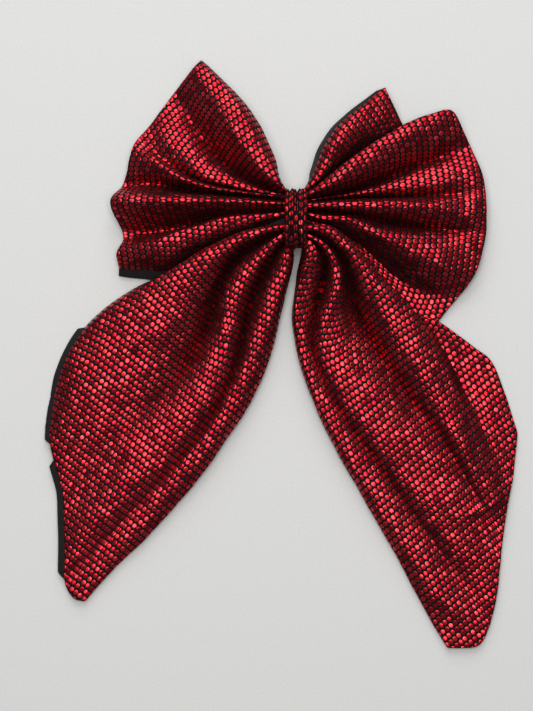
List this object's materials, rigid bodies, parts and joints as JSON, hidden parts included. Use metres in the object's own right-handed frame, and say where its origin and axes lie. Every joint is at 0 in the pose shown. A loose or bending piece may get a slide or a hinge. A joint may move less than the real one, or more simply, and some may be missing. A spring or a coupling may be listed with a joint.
{
  "type": "cheer hair bow",
  "caption": "Cheer hair bow: pleated loops and long slanted tails of red foil-dot fabric, gathered under a wrapped knot on a spring barrette.",
  "frame": {"origin": "under the knot, on the flat underside of the barrette's locking arm", "axes": "+Z out of the face of the bow, +Y towards the tops of the loops, so the tails point to -Y; +X along the barrette, towards its clasp"},
  "size_m": [0.26, 0.322, 0.0306],
  "materials": {
    "foil_dot_cloth": "black knit printed with a close grid of shiny red foil dots",
    "black_lining": "matt black knit",
    "black_thread": "matt black sewing thread",
    "black_felt": "matt black felt",
    "barrette_steel": "nickel-plated spring steel, satin"
  },
  "bodies": {
    "knot": {"centre_wrap": "foil_dot_cloth", "loop_gathered_core": "foil_dot_cloth", "tail_gathered_core": "foil_dot_cloth", "gathering_thread": "black_thread", "backing_felt": "black_felt", "left_loop_face": "foil_dot_cloth", "left_loop_lining": "black_lining", "right_loop_face": "foil_dot_cloth", "right_loop_lining": "black_lining", "barrette_top_plate": "barrette_steel", "barrette_hinge_pin": "barrette_steel", "barrette_tension_bar": "barrette_steel", "tension_bar_rivet": "barrette_steel", "clasp_rivet": "barrette_steel", "barrette_clasp_base": "barrette_steel"},
    "left_tail": {"left_tail_face": "foil_dot_cloth", "left_tail_lining": "black_lining"},
    "right_tail": {"right_tail_face": "foil_dot_cloth", "right_tail_lining": "black_lining"},
    "arm": {"barrette_arm": "barrette_steel"},
    "front_jaw": {"clasp_jaw_front": "barrette_steel"},
    "back_jaw": {"clasp_jaw_back": "barrette_steel"}
  },
  "joints": [
    {"name": "left_tail_swing", "type": "hinge", "parent": "knot", "child": "left_tail", "pos_m": [0, 0, 0.021], "axis": [-1, 0, 0], "range_deg": [0, 60]},
    {"name": "right_tail_swing", "type": "hinge", "parent": "knot", "child": "right_tail", "pos_m": [0, 0, 0.021], "axis": [-1, 0, 0], "range_deg": [0, 60]},
    {"name": "arm_hinge", "type": "hinge", "parent": "knot", "child": "arm", "pos_m": [-0.036, 0, 0.002], "axis": [0, 1, 0], "range_deg": [0, 70]},
    {"name": "front_jaw_squeeze", "type": "slide", "parent": "knot", "child": "front_jaw", "axis": [0, 1, 0], "range_m": [0, 0.0005], "stiffness_N_per_m": 800},
    {"name": "back_jaw_squeeze", "type": "slide", "parent": "knot", "child": "back_jaw", "axis": [0, -1, 0], "range_m": [0, 0.0005], "stiffness_N_per_m": 800}
  ],
  "couplings": [
    {"joint": "back_jaw_squeeze", "follows": "front_jaw_squeeze", "ratio": 1}
  ]
}
